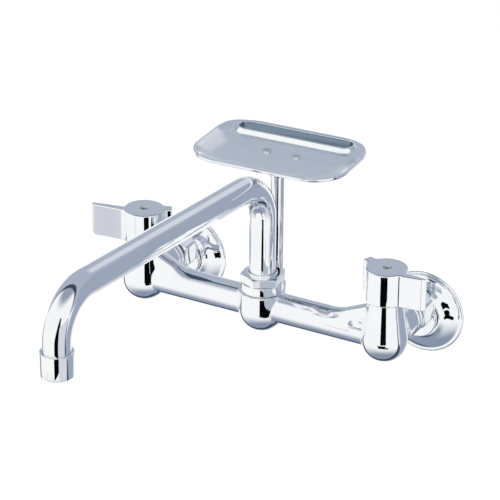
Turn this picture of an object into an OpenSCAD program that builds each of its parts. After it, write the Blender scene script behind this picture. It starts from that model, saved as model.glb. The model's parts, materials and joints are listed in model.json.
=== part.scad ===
// Wall-mounted two-handle kitchen faucet with a swing spout and a soap dish.
// Millimetres. +Z is up, +Y points into the wall and +X runs along the body.
// The origin lies on the wall plane, midway between the two supply inlets and level with them.

/* [Supply inlets] */
// Distance between the two supply inlets
inlet_spacing = 203.2; // [190:0.1:216]
// Distance from the wall to the upright axes of the body
body_out = 68.5; // [66:0.1:74]
// How far the body stands above the inlets, taken up by the offset couplings
union_rise = 11; // [8:0.5:12]
// Bore radius of the female supply thread
supply_thread_r = 9.2; // [8.6:0.1:9.6]
// Depth of the female supply thread
supply_thread_depth = 12.6; // [11.6:0.1:13.2]

/* [Valve body] */
// Radius of the round bottom of the two valve barrels
barrel_r = 17.5; // [17.2:0.1:20]
// Slope by which each barrel narrows toward its top, in degrees
barrel_taper = 9.5; // [8:0.5:10.5]
// Height of the barrel tops
barrel_top = 39.8; // [39:0.1:41]
// Height of the centre of a barrel's round bottom
barrel_ball_z = 8.3; // [7.5:0.1:9]
// Radius of the round boss below the spout
boss_r = 17.5; // [17:0.1:19]
// Height of the centre of that boss's round bottom
boss_ball_z = 7.5; // [6:0.1:9]
// Radius of the bar that joins barrels and boss
bar_r = 11.6; // [10.6:0.1:12.4]
// Slope of the shoulder that climbs from the bar to each barrel, in degrees
flare_rise = 24; // [20:1:28]
// Distance from the barrel axis to the foot of that shoulder
flare_reach = 38; // [34:1:42]
// Radius of the water passage in the bar
bar_bore_r = 8.2; // [6:0.1:8.4]
// Radius of the inlet neck behind each barrel
neck_r = 13.8; // [13:0.1:14.2]

/* [Unions and wall flanges] */
// Width across the flats of a union nut
union_flats = 28; // [27:0.5:30]
// Radius of the round part of an offset coupling
coupling_r = 15.5; // [15:0.1:16]
// Outer radius of a wall flange
flange_r = 32.7; // [30:0.1:36]
// How far a wall flange stands out from the wall
flange_depth = 9.8; // [9:0.1:10]
// Thickness of the flange metal
flange_wall = 1; // [0.8:0.1:1.2]

/* [Handles] */
// Hub radius
hub_r = 15.4; // [14.8:0.1:16]
// Height of a handle
handle_height = 25.4; // [24:0.1:28]
// Length of the left blade, from the axis to its tip
left_blade = 41.4; // [36:0.1:46]
// Length of the right blade, from the axis to its tip
right_blade = 33.6; // [30:0.1:42]
// Thickness of a blade beside the hub
blade_thick = 5.6; // [4.6:0.1:6.4]
// Thickness of a blade at its tip
blade_tip_thick = 4.2; // [3:0.1:5]
// Radius from the axis to the end of the short thumb lug
lug_length = 21.2; // [19:0.1:22]
// Turn of the left blade toward the front when shut, in degrees
left_handle_rest = 11.4; // [0:0.2:15]
// Turn of the right blade toward the front when shut, in degrees
right_handle_rest = 1.6; // [0:0.2:15]

/* [Spout] */
// Outer radius of the spout tube
tube_r = 9.95; // [9:0.05:9.95]
// Wall of the spout tube
tube_wall = 1.2; // [0.8:0.1:1.3]
// Height at which the riser starts to bend
riser_top = 81.7; // [78:0.1:90]
// Bend radius of the tube's centreline, the same at both bends
bend_r = 31.6; // [28:0.1:36]
// Outward rise of the long straight part, in degrees
spout_rise = 1.87; // [0:0.01:5]
// Horizontal reach from the riser axis to the outlet axis
spout_reach = 250.5; // [200:0.5:300]
// Height of the outlet
outlet_z = 65; // [62:0.1:68]
// Turn of the spout toward the left inlet at rest, in degrees
spout_turn = 4; // [-20:0.5:20]
// Outer radius of the aerator housing
aerator_r = 11.8; // [11.6:0.1:12.6]
// Height of the aerator housing
aerator_height = 17.6; // [16.8:0.1:19]

/* [Spout nut and dish bracket] */
// Width across the flats of the spout nut
spout_nut_flats = 29.3; // [29:0.1:30]
// Height of the top of the spout nut's hexagon
spout_nut_top = 37; // [36.8:0.1:37.6]
// Outer radius of the bracket ring below the nut
bracket_r = 15.7; // [15.2:0.1:16]
// Height of the seam between bracket ring and nut
bracket_top = 30; // [29:0.1:30.4]

/* [Soap dish] */
// Distance from the riser axis back to the dish post
post_back = 22.1; // [22:0.1:24]
// Radius of the dish post
post_r = 5.2; // [4.6:0.1:5.2]
// Turn of the dish about its post, in degrees
dish_turn = 2.6; // [0:0.1:2.6]
// Width of the dish
dish_w = 121.8; // [112:0.1:130]
// Depth of the dish, front to back
dish_d = 82.5; // [76:0.1:84]
// Corner radius of the dish outline
dish_corner = 27.4; // [24:0.1:30]
// How far the middle of the dish lies behind its post
dish_shift = 3.1; // [0:0.1:3.1]
// Height of the dish rim
dish_rim_z = 126.3; // [125.6:0.1:130]
// Depth of the dish floor below the rim
dish_depth = 5.2; // [4.8:0.1:6]
// Width of the sloping wall between rim and floor
dish_slope = 14; // [12:0.1:15]
// Thickness of the dish metal
dish_wall = 1.2; // [1:0.1:1.4]
// Length of the long slot at the back of the dish
slot_length = 92; // [80:0.5:94]
// Width of the long slot
slot_w = 13.3; // [11:0.1:13.6]
// Height of the slot's border above the rim
slot_rise = 2.1; // [1.6:0.1:2.6]
// How far the middle of the slot lies behind the post
slot_shift = 30.4; // [29.6:0.1:30.6]
// How far the two dish screws lie behind the post
screw_shift = 6.3; // [5.6:0.1:6.6]
// Half the distance between the two dish screws
screw_half = 12; // [11:0.1:13]

/* [Hidden] */
$fn = 72;
EPS = 0.01;
RUN_GAP = 0.05; // radial clearance of turning fits
LOOSE_GAP = 0.1; // radial clearance of threads and loose fits
half_spacing = inlet_spacing / 2;

// Valve chamber levels inside each barrel
seat_z = 3;
chamber_z = 6;
ledge_z = 20;
nut_bore_z = 24;
chamber_r = 9;
ledge_r = 10.3;
nut_bore_r = 10.5;
seat_r = 4.8;
lower_chamber_r = 8;
lower_chamber_z = -4;
feed_r = 2.2;
feed_out = 13;
feed_z = 0.6;
feed_over = 1.4;
feed_turns = [-28, 0, 28];
inlet_bore_r = 6.5;
inlet_bore_end = feed_out - feed_r - 0.6;

// Cone of a barrel and the shoulder beside it
cone_z = barrel_ball_z + barrel_r * sin(barrel_taper);
cone_r = barrel_r * cos(barrel_taper) - EPS;
cone_top_r = cone_r - (barrel_top - cone_z) * tan(barrel_taper);
flare_tube_r = bar_r - 1.4;
flare_lift = 0.6;
flare_end = 3;

// Inlet neck and union, distances from the wall
neck_end = 33;
neck_waist_r = 9.5;
neck_flange_r = 11.2;
neck_flange_y = [24, 27];
bead_ys = [38.75, 34.5];
bead_r = 1.5;
nut_y = [14.8, 31.2];
nut_lip = 4;
tail_r = 11.7;
tail_y = [14.6, 22];
lobe_r = 12.4;
lobe_y = 10.4;
coupling_y = 14.4;
tail_bore_r = 6.3;
tail_bore_y = 11;

// Spout socket on the body
spigot_r = 13;
spigot_z = [22.8, 34];
socket_r = 10;
socket_z = 20;
shank_r = socket_r - RUN_GAP;
shank_z = 20.4;
shank_bore_r = 7;
ring_groove_zs = [22.4, 27.8];
ring_groove_h = 2.4;
ring_groove_r = 8.1;
shank_flange_r = 12.4;
washer_h = 0.8;
shank_flange_h = 1.2;
shank_stub_top = 44;
nut_collar_r = 11.2;
nut_collar_top = 38.5;
nut_turn = 34;

// Cartridge levels and radii
seal_h = 1.5;
fixed_disc_z = chamber_z + seal_h;
disc_h = 2.8;
disc_gap = 0.04;
turning_disc_z = fixed_disc_z + disc_h + disc_gap;
drive_z = turning_disc_z + disc_h;
drive_h = 3;
disc_r = 7.6;
disc_port_r = 2.4;
disc_port_out = 4.4;
peg_r = 1.1;
peg_out = 4.6;
sleeve_r = chamber_r - LOOSE_GAP;
sleeve_bore_r = disc_r + 0.1;
sleeve_roof_z = drive_z + drive_h + 0.1;
gasket_h = 0.8;
flange_out_r = ledge_r - 0.2;
cart_neck_r = 8;
cart_neck_top = 36.5;
stem_r = 4.9;
stem_bore_r = stem_r + RUN_GAP;
stem_groove_zs = [23.2, 28.4];
stem_groove_h = 1.9;
stem_groove_r = 3.9;
clip_z = 36.7;
clip_h = 0.8;
clip_groove_r = 4.2;
clip_r = 6.2;
spline_r = 4;
spline_z = 38.4;
spline_top = 56;
spline_flats = 6.4;
screw_r = 1.9;
screw_end = 47;
screw_head_r = 2.9;
screw_head_h = 2.3;
gland_r = nut_bore_r - LOOSE_GAP;
gland_z = [24.1, 36];
gland_slot_w = 4;
gland_slot_h = 4;

// Handle levels
handle_z = barrel_top + 0.4;
handle_top = handle_z + handle_height;
handle_roof = 5.4;
hub_wall = 2.6;
core_r = 7;
core_z = 44;
socket_top = 57;
counterbore_z = handle_top - 3.2;
blade_back = -1.7; // across the blade, toward the wall
blade_front = blade_back - blade_thick;
blade_tip_y = blade_back - blade_tip_thick;
blade_slant = 3;
blade_corner = 0.8;
blade_root = hub_r + 1;
crease_r = 4;
crease_back_r = 2.6;
crease_lap = 0.03;
lug_w = 7.8;
lug_angle = 161;
lug_flare = 1.2;

// Spout tube stations, y measured from the riser axis
tube_start = spigot_z[1] + washer_h + shank_flange_h;
straight_len = (spout_reach - 2 * bend_r) / cos(spout_rise);
drop_top = riser_top + straight_len * sin(spout_rise);
seam_lap = 0.05;
bend_squeeze = 0.02;
aerator_top = outlet_z + aerator_height;
tube_end = aerator_top - 2.4;
tip_r = 10.8;
tip_end = outlet_z + 7.6;
tip_bore_r = 7.6;
stub_r = tube_r - tube_wall - 0.03;
tip_stub = 4;
aerator_bore_r = tip_r + LOOSE_GAP;
aerator_lip = 1.6;
aerator_mouth_r = 8.6;
insert_flange_h = 1.4;
insert_r = 8.3;
screen_h = 0.6;
screen_hole = 1.2;
screen_pitch = 2;

// Dish stations
post_y = -body_out + post_back;
floor_z = dish_rim_z - dish_depth;
under_z = floor_z - dish_wall;
lip_h = 2.4;
lip_w = 1.6;
slot_top = dish_rim_z + slot_rise;
slot_band = 3.4;
skirt_wall = 1.4;
mount_collar_r = 5.9;
mount_collar_z = 106.5;
mount_collar_top = 113.2;
mount_plate = [36, 25, 3];
post_top = 113;
post_bore_r = 3.4;
post_lug_r = 7.6;
post_lug_z = [10.9, 19.3];
post_bottom = post_lug_z[0] + 1.5;
arm_r = 6.8;
arm_w = 12;
arm_top = bracket_top - 1;
boss_out_r = 8;
dish_screw_r = 2;
dish_screw_head_r = 3.1;
dish_screw_head_h = 1;
screw_below = 5.3;
dish_screw_end = under_z - mount_plate[2] - screw_below;

LEFT = -1;
RIGHT = 1;
CHROME = [0.78, 0.81, 0.86];
BRASS = [0.80, 0.62, 0.30];
RUBBER = [0.10, 0.10, 0.11];
CERAMIC = [0.93, 0.92, 0.88];
NYLON = [0.90, 0.89, 0.84];
STEEL = [0.62, 0.63, 0.65];

// Placing helpers: each side is drawn as the right side, and the left one is its mirror image
module at_side(s) {
    translate([s * half_spacing, 0, 0])
        mirror([s < 0 ? 1 : 0, 0, 0]) children();
}

module at_barrel(s) {
    at_side(s) translate([0, -body_out, 0]) children();
}

function rest_turn(s) = s < 0 ? left_handle_rest : right_handle_rest;

module at_handle(s) {
    at_barrel(s) rotate([0, 0, -rest_turn(s)]) children();
}

module at_riser() {
    translate([0, -body_out, 0]) rotate([0, 0, -spout_turn]) children();
}

module at_outlet() {
    at_riser() translate([0, -spout_reach, 0]) children();
}

// Upright cylinder between two heights
module rod(r, z0, z1) {
    translate([0, 0, z0]) cylinder(r = r, h = z1 - z0);
}

// Upright ring between two heights
module ring(ro, ri, z0, z1) {
    difference() {
        rod(ro, z0, z1);
        rod(ri, z0 - EPS, z1 + EPS);
    }
}

// Cylinder square to the wall, between two distances from the wall
module wall_rod(r, d0, d1) {
    translate([0, -d0, 0]) rotate([90, 0, 0]) cylinder(r = r, h = d1 - d0);
}

// Rubber ring of round section
module o_ring(mid_r, section_r, z) {
    translate([0, 0, z]) rotate_extrude() translate([mid_r, 0]) circle(r = section_r, $fn = 24);
}

// Points on an arc of a profile
function arc(c, r, a0, a1, n = 8) = [
    for (i = [0 : n]) c + r * [cos(a0 + (a1 - a0) * i / n), sin(a0 + (a1 - a0) * i / n)]
];

// Cast valve body
module barrel_solid() {
    translate([0, 0, cone_z]) cylinder(r1 = cone_r, r2 = cone_top_r, h = barrel_top - cone_z);
    translate([0, 0, barrel_ball_z]) sphere(r = barrel_r);
}

module neck_solid() {
    translate([0, body_out, union_rise]) {
        wall_rod(neck_r, neck_end, body_out);
        wall_rod(neck_waist_r, neck_flange_y[0], neck_end + 1);
        wall_rod(neck_flange_r, neck_flange_y[0], neck_flange_y[1]);
        for (y = bead_ys)
            translate([0, -y, 0]) rotate([90, 0, 0])
                rotate_extrude() translate([neck_r - 0.6, 0]) circle(r = bead_r, $fn = 24);
    }
}

// Shoulder that climbs from the bar into the barrel, a little slimmer than the bar that it leaves
module flare_solid() {
    translate([-flare_reach, 0, union_rise + flare_lift]) rotate([0, 90 - flare_rise, 0])
        cylinder(r = flare_tube_r, h = (flare_reach - flare_end) / cos(flare_rise));
}

module valve_cavity() {
    rod(nut_bore_r, nut_bore_z, barrel_top + 1);
    rod(ledge_r, ledge_z, nut_bore_z + 1);
    rod(chamber_r, chamber_z, ledge_z + 1);
    rod(seat_r, seat_z - 1, chamber_z + 1);
    rod(lower_chamber_r, lower_chamber_z, seat_z);
    for (a = feed_turns)
        rotate([0, 0, a]) {
            translate([0, feed_out, feed_z]) cylinder(r = feed_r, h = union_rise + feed_over - feed_z);
            translate([0, 0, feed_z]) rotate([-90, 0, 0]) cylinder(r = feed_r, h = feed_out);
        }
    translate([0, inlet_bore_end, union_rise]) rotate([-90, 0, 0]) rotate([0, 0, -90])
        cylinder(r = inlet_bore_r, h = body_out);
}

module valve_body() {
    color(CHROME) difference() {
        union() {
            for (s = [LEFT, RIGHT])
                at_barrel(s) {
                    barrel_solid();
                    neck_solid();
                    flare_solid();
                }
            translate([0, -body_out, 0]) {
                rod(boss_r, boss_ball_z, spigot_z[0]);
                translate([0, 0, boss_ball_z]) sphere(r = boss_r);
                rod(spigot_r, spigot_z[0] - 1, spigot_z[1]);
                translate([0, post_back, 0]) rod(post_lug_r, post_lug_z[0], post_lug_z[1]);
                translate([-half_spacing, 0, union_rise]) rotate([0, 90, 0])
                    cylinder(r = bar_r, h = inlet_spacing);
            }
        }
        for (s = [LEFT, RIGHT])
            at_barrel(s) valve_cavity();
        translate([0, -body_out, 0]) {
            rod(socket_r, socket_z, spigot_z[1] + 1);
            translate([0, post_back, 0]) rod(post_r + 0.03, post_bottom, spigot_z[0] + 1);
            rod(bar_bore_r, union_rise, socket_z + 1);
            translate([-half_spacing, 0, union_rise]) rotate([0, 90, 0])
                cylinder(r = bar_bore_r, h = inlet_spacing);
        }
    }
}

// Pieces of each wall connection
module wall_flange(s) {
    rim_w = 3.2;
    rim_h = 1.8;
    dome_r = flange_r - rim_w;
    shoulder_r = 19.4;
    hole_r = coupling_r + 0.3;
    shoulder_d = flange_depth - 2.6;
    chord = [dome_r - shoulder_r, shoulder_d - rim_h];
    bulge = 1.9;
    half = norm(chord) / 2;
    dome_arc_r = (half * half + bulge * bulge) / (2 * bulge);
    mid = [(dome_r + shoulder_r) / 2, (rim_h + shoulder_d) / 2];
    normal = [chord[1], chord[0]] / norm(chord);
    centre = mid - normal * (dome_arc_r - bulge);
    a0 = atan2(rim_h - centre[1], dome_r - centre[0]);
    a1 = atan2(shoulder_d - centre[1], shoulder_r - centre[0]);
    color(CHROME) at_side(s) rotate([90, 0, 0]) rotate_extrude() difference() {
        polygon(concat(
            [[hole_r, 0], [flange_r, 0], [flange_r, rim_h - 0.6], [flange_r - 0.6, rim_h]],
            arc(centre, dome_arc_r, a0, a1),
            [[hole_r + 1.4, flange_depth - 0.6], [hole_r + 1, flange_depth], [hole_r, flange_depth]]
        ));
        polygon(concat(
            [[hole_r - 1, -1], [dome_r, -1]],
            arc(centre, dome_arc_r - flange_wall, a0 - 4, a1),
            [[hole_r + 0.8, flange_depth - 1.6], [hole_r - 1, flange_depth - 1.6]]
        ));
    }
}

module offset_coupling(s) {
    color(CHROME) at_side(s) difference() {
        union() {
            wall_rod(coupling_r, 0, coupling_y);
            translate([0, 0, union_rise]) {
                wall_rod(lobe_r, lobe_y, tail_y[0]);
                wall_rod(tail_r, tail_y[0] - 1, tail_y[1]);
            }
        }
        wall_rod(supply_thread_r, -1, supply_thread_depth);
        translate([0, 0, union_rise]) wall_rod(tail_bore_r, tail_bore_y, tail_y[1] + 1);
    }
}

module union_nut(s) {
    color(CHROME) at_side(s) translate([0, 0, union_rise]) difference() {
        intersection() {
            translate([0, -nut_y[0], 0]) rotate([90, 0, 0]) rotate([0, 0, 30])
                cylinder(r = union_flats / 2 / cos(30), h = nut_y[1] - nut_y[0], $fn = 6);
            rotate([90, 0, 0]) rotate_extrude() polygon([
                [0, nut_y[0]], [union_flats / 2 - 0.4, nut_y[0]],
                [union_flats / 2 + 2.6, nut_y[0] + 1.6], [union_flats / 2 + 2.6, nut_y[1] - 1.6],
                [union_flats / 2 - 0.4, nut_y[1]], [0, nut_y[1]]
            ]);
        }
        wall_rod(tail_r + LOOSE_GAP, nut_y[0] - 1, nut_y[1] - nut_lip);
        wall_rod(neck_waist_r + LOOSE_GAP, nut_y[0] - 1, nut_y[1] + 1);
    }
}

module union_washer(s) {
    color(RUBBER) at_side(s) translate([0, 0, union_rise]) difference() {
        wall_rod(neck_flange_r, tail_y[1], neck_flange_y[0]);
        wall_rod(tail_bore_r, tail_y[1] - 1, neck_flange_y[0] + 1);
    }
}

// Pieces of each valve cartridge
module cartridge(s) {
    color(BRASS) at_barrel(s) difference() {
        union() {
            rod(sleeve_r, fixed_disc_z, ledge_z + 1);
            rod(flange_out_r, ledge_z + gasket_h, nut_bore_z);
            rod(cart_neck_r, nut_bore_z - 1, cart_neck_top);
        }
        rod(sleeve_bore_r, fixed_disc_z - 1, sleeve_roof_z);
        rod(stem_bore_r, sleeve_roof_z - 1, cart_neck_top + 1);
        translate([-chamber_r - 1, -3, turning_disc_z]) cube([2 * chamber_r + 2, 6, disc_h + drive_h]);
    }
}

module gasket(s) {
    color(RUBBER) at_barrel(s) ring(flange_out_r, sleeve_r + LOOSE_GAP, ledge_z, ledge_z + gasket_h);
}

module seat_seal(s) {
    color(RUBBER) at_barrel(s) ring(sleeve_r - 0.1, seat_r, chamber_z, fixed_disc_z);
}

module fixed_disc(s) {
    color(CERAMIC) at_barrel(s) difference() {
        rod(disc_r, fixed_disc_z, fixed_disc_z + disc_h);
        for (side = [-1, 1])
            translate([side * disc_port_out, 0, 0])
                rod(disc_port_r, fixed_disc_z - 1, turning_disc_z + 1);
    }
}

module turning_disc(s) {
    color(CERAMIC) at_handle(s) difference() {
        rod(disc_r, turning_disc_z, drive_z);
        for (side = [-1, 1]) {
            translate([0, side * disc_port_out, 0]) rod(disc_port_r, turning_disc_z - 1, drive_z + 1);
            translate([-disc_port_r, side > 0 ? disc_port_out : -disc_r - 1, turning_disc_z - 1])
                cube([2 * disc_port_r, disc_r + 1 - disc_port_out, disc_h + 2]);
            translate([side * peg_out, 0, 0])
                rod(peg_r + LOOSE_GAP, drive_z - disc_h / 2 - 0.2, drive_z + 1);
        }
    }
}

module stem(s) {
    color(BRASS) at_handle(s) difference() {
        union() {
            rod(disc_r, drive_z, drive_z + drive_h);
            for (side = [-1, 1])
                translate([side * peg_out, 0, 0]) rod(peg_r, drive_z - disc_h / 2, drive_z + 1);
            rod(stem_r, drive_z + drive_h - 1, spline_z);
            intersection() {
                rod(spline_r, spline_z - 1, spline_top);
                translate([-spline_r, -spline_flats / 2, spline_z - 1])
                    cube([2 * spline_r, spline_flats, spline_top]);
            }
        }
        for (z = stem_groove_zs)
            ring(stem_r + 1, stem_groove_r, z, z + stem_groove_h);
        ring(stem_r + 1, clip_groove_r, clip_z, clip_z + clip_h);
        rod(screw_r + LOOSE_GAP, screw_end - 3, spline_top + 1);
    }
}

module stem_rings(s) {
    section_r = (stem_bore_r - stem_groove_r) / 2 - 0.02;
    color(RUBBER) at_handle(s)
        for (z = stem_groove_zs)
            o_ring((stem_bore_r + stem_groove_r) / 2, section_r, z + stem_groove_h / 2);
}

module clip(s) {
    color(STEEL) at_handle(s) difference() {
        ring(clip_r, clip_groove_r + 0.05, clip_z + 0.08, clip_z + clip_h - 0.08);
        translate([0, -2.6, clip_z - 1]) cube([clip_r + 1, 5.2, clip_h + 2]);
    }
}

module gland_nut(s) {
    color(BRASS) at_barrel(s) difference() {
        ring(gland_r, cart_neck_r + 0.2, gland_z[0], gland_z[1]);
        translate([-gland_r - 1, -gland_slot_w / 2, gland_z[1] - gland_slot_h])
            cube([2 * gland_r + 2, gland_slot_w, gland_slot_h + 1]);
    }
}

// Handle plan, with the blade along +X and the wall toward +Y
module blade_plan(tip) {
    polygon([
        [0, blade_back], [tip - blade_corner, blade_back], [tip, blade_back - blade_corner],
        [tip - blade_slant, blade_tip_y], [blade_root, blade_front], [0, blade_front]
    ]);
}

// Concave corner of radius f where the hub meets the blade's side at y; side is +1 toward the wall
module crease_plan(y, f, side) {
    cy = y + side * f;
    cx = sqrt((hub_r + f) * (hub_r + f) - cy * cy);
    difference() {
        polygon([[0, 0], [0, y - side], [cx, y - side], [cx, cy]]);
        translate([cx, cy]) circle(r = f - crease_lap);
    }
}

module lug_plan() {
    rotate([0, 0, lug_angle]) translate([0, -lug_w / 2]) square([lug_length, lug_w]);
    rotate([0, 0, lug_angle]) translate([hub_r - 4, -lug_w / 2 - lug_flare])
        square([lug_length - hub_r + 2, lug_w]);
}

module handle_solid(tip) {
    rod(hub_r, handle_z, handle_top);
    translate([0, 0, handle_z]) {
        linear_extrude(handle_height) blade_plan(tip);
        linear_extrude(handle_height) crease_plan(blade_front, crease_r, -1);
        linear_extrude(handle_height) crease_plan(blade_back, crease_back_r, 1);
        linear_extrude(handle_height) intersection() {
            lug_plan();
            circle(r = lug_length);
        }
    }
}

module handle(s) {
    color(CHROME) at_handle(s) difference() {
        handle_solid(s < 0 ? left_blade : right_blade);
        difference() {
            rod(hub_r - hub_wall, handle_z - 1, handle_top - handle_roof);
            rod(core_r, core_z, handle_top);
        }
        intersection() {
            rod(spline_r + LOOSE_GAP, core_z - 1, socket_top);
            translate([-spline_r - 1, -spline_flats / 2 - LOOSE_GAP, core_z - 2])
                cube([2 * spline_r + 2, spline_flats + 2 * LOOSE_GAP, socket_top]);
        }
        rod(screw_r + 0.3, socket_top - 2, handle_top);
        rod(screw_head_r + 0.3, counterbore_z, handle_top + 1);
    }
}

module handle_screw(s) {
    color(STEEL) at_handle(s) difference() {
        union() {
            rod(screw_r, screw_end, counterbore_z + 1);
            rod(screw_head_r, counterbore_z, counterbore_z + screw_head_h);
        }
        for (a = [0, 90])
            rotate([0, 0, a]) translate([-2, -0.4, counterbore_z + screw_head_h - 1.2])
                cube([4, 0.8, 2]);
    }
}

// Straight length of spout tube, lapping into its neighbours; what follows starts at its end
module straight_piece(len, lap0, lap1) {
    ring(tube_r, tube_r - tube_wall, -lap0, len + lap1);
    translate([0, 0, len]) children();
}

// Bend of the spout tube away from the wall; what follows starts at its end
module bend_piece(sweep) {
    translate([0, -bend_r, 0]) {
        rotate([90, 0, 90]) rotate_extrude(angle = sweep) translate([bend_r, 0]) difference() {
            circle(r = tube_r - bend_squeeze);
            circle(r = tube_r - tube_wall + bend_squeeze);
        }
        rotate([sweep, 0, 0]) translate([0, bend_r, 0]) children();
    }
}

module spout_tube() {
    color(CHROME) at_riser() translate([0, 0, tube_start])
        straight_piece(riser_top - tube_start, 0, seam_lap)
        bend_piece(90 - spout_rise)
        straight_piece(straight_len, seam_lap, seam_lap)
        bend_piece(90 + spout_rise)
        straight_piece(drop_top - tube_end, seam_lap, 0);
}

module spout_shank() {
    color(BRASS) at_riser() difference() {
        union() {
            rod(shank_r, shank_z, tube_start - 1);
            rod(shank_flange_r, tube_start - shank_flange_h, tube_start);
            rod(stub_r, tube_start - 1, shank_stub_top);
        }
        rod(shank_bore_r, shank_z - 1, shank_stub_top + 1);
        for (z = ring_groove_zs)
            ring(shank_r + 1, ring_groove_r, z, z + ring_groove_h);
    }
}

module spout_rings() {
    section_r = (socket_r - ring_groove_r) / 2 - 0.02;
    color(RUBBER) at_riser()
        for (z = ring_groove_zs)
            o_ring((socket_r + ring_groove_r) / 2, section_r, z + ring_groove_h / 2);
}

module friction_washer() {
    color(NYLON) at_riser() ring(spigot_r - 0.4, shank_r + 0.1, spigot_z[1], spigot_z[1] + washer_h);
}

module spout_nut() {
    lip_z = tube_start + 0.3;
    color(CHROME) translate([0, -body_out, 0]) difference() {
        union() {
            intersection() {
                rotate([0, 0, nut_turn]) translate([0, 0, bracket_top])
                    cylinder(r = spout_nut_flats / 2 / cos(30), h = spout_nut_top - bracket_top, $fn = 6);
                rotate_extrude() polygon([
                    [0, bracket_top], [spout_nut_flats / 2 + 3, bracket_top],
                    [spout_nut_flats / 2 + 3, spout_nut_top - 1.6],
                    [spout_nut_flats / 2 - 0.6, spout_nut_top], [0, spout_nut_top]
                ]);
            }
            rod(nut_collar_r, spout_nut_top - 1, nut_collar_top);
        }
        rod(spigot_r + LOOSE_GAP, bracket_top - 1, lip_z);
        rod(tube_r + 0.25, bracket_top, nut_collar_top + 1);
    }
}

module spout_tip() {
    color(BRASS) at_outlet() difference() {
        union() {
            rod(tip_r, tip_end, tube_end);
            rod(stub_r, tube_end - 1, tube_end + tip_stub);
        }
        rod(tip_bore_r, tip_end - 1, tube_end + tip_stub + 1);
    }
}

module aerator_housing() {
    color(CHROME) at_outlet() difference() {
        rotate_extrude() polygon([
            [0, outlet_z], [aerator_r - 0.8, outlet_z], [aerator_r, outlet_z + 0.8],
            [aerator_r, aerator_top - 0.7], [aerator_r - 0.7, aerator_top], [0, aerator_top]
        ]);
        rod(aerator_bore_r, outlet_z + aerator_lip, aerator_top - 2.2);
        rod(aerator_mouth_r, outlet_z - 1, aerator_top);
        rod(tube_r + 0.1, aerator_top - 3, aerator_top + 1);
    }
}

module aerator_washer() {
    color(RUBBER) at_outlet() ring(tip_r, tip_bore_r, tip_end - 1.6, tip_end);
}

module aerator_insert() {
    top = tip_end - 1.6;
    base = outlet_z + screen_h + 0.8;
    color(NYLON) at_outlet() difference() {
        union() {
            rod(tip_r, top - insert_flange_h, top);
            rod(insert_r, base, top);
        }
        rod(insert_r - 1.4, base - 1, top - 2.4);
        for (a = [0 : 45 : 315])
            rotate([0, 0, a]) translate([5.2, 0, 0]) rod(0.7, top - 3, top + 1);
        rod(1.2, top - 3, top + 1);
    }
}

module aerator_screen() {
    reach = floor((insert_r - 1.6) / screen_pitch);
    color(STEEL) at_outlet() difference() {
        rod(insert_r, outlet_z + 0.6, outlet_z + 0.6 + screen_h);
        for (i = [-reach : reach])
            for (j = [-reach : reach])
                if (norm([i, j]) * screen_pitch < insert_r - 1.4)
                    translate([i * screen_pitch - screen_hole / 2, j * screen_pitch - screen_hole / 2, outlet_z])
                        cube([screen_hole, screen_hole, 3]);
    }
}

// Soap dish pieces
module dish_bracket() {
    color(CHROME) translate([0, -body_out, 0]) difference() {
        union() {
            rod(bracket_r, spigot_z[0], bracket_top);
            translate([0, post_back, 0]) rod(arm_r, spigot_z[0], arm_top);
            translate([-arm_w / 2, 6, spigot_z[0]]) cube([arm_w, post_back - 6, arm_top - spigot_z[0]]);
        }
        rod(spigot_r + LOOSE_GAP, spigot_z[0] - 1, bracket_top + 1);
        translate([0, post_back, 0]) rod(post_r + 0.03, spigot_z[0] - 1, arm_top + 1);
    }
}

module dish_post() {
    color(CHROME) translate([0, post_y, 0]) ring(post_r, post_bore_r, post_bottom, post_top);
}

module at_dish() {
    translate([0, post_y, 0]) rotate([0, 0, dish_turn]) children();
}

module dish_mount() {
    color(CHROME) at_dish() difference() {
        union() {
            rod(mount_collar_r, mount_collar_z, mount_collar_top + 1);
            rod(boss_out_r, mount_collar_top, under_z);
            translate([-mount_plate[0] / 2, screw_shift - mount_plate[1] + 6.5, under_z - mount_plate[2]])
                cube(mount_plate);
        }
        rod(post_r + 0.03, mount_collar_z - 1, post_top);
        for (side = [-1, 1])
            translate([side * screw_half, screw_shift, 0])
                rod(dish_screw_r, under_z - mount_plate[2] - 1, under_z + 1);
    }
}

// Plate of the dish outline between two heights, drawn in by inset, with its back edge at back
module dish_plate(inset, back, z0, h) {
    r = dish_corner - inset;
    front = dish_shift - dish_d / 2 + inset;
    half_w = dish_w / 2 - inset;
    translate([0, 0, z0]) linear_extrude(h) union() {
        translate([r - half_w, front]) square([2 * half_w - 2 * r, back - front]);
        translate([-half_w, front + r]) square([2 * half_w, back - front - 2 * r]);
        for (x = [-1, 1])
            for (y = [front + r, back - r])
                translate([x * (half_w - r), y]) circle(r = r, $fn = 48);
    }
}

// Tray space between rim and floor, moved down by drop and grown by grow
module dish_hollow(drop, grow) {
    back = dish_shift + dish_d / 2;
    hull() {
        dish_plate(lip_w + 1 - grow, back - lip_w - 1 + grow, dish_rim_z - drop, 0.02);
        dish_plate(dish_slope - grow, back - dish_slope + grow, floor_z - drop, 0.02);
    }
}

module slot_plan(grow) {
    reach = slot_length / 2 - slot_w / 2;
    translate([0, slot_shift]) union() {
        square([2 * reach, slot_w + 2 * grow], center = true);
        for (x = [-1, 1])
            translate([x * reach, 0]) circle(r = slot_w / 2 + grow, $fn = 48);
    }
}

module slot_slab(grow, z0, z1) {
    translate([0, 0, z0]) linear_extrude(z1 - z0) slot_plan(grow);
}

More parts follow.
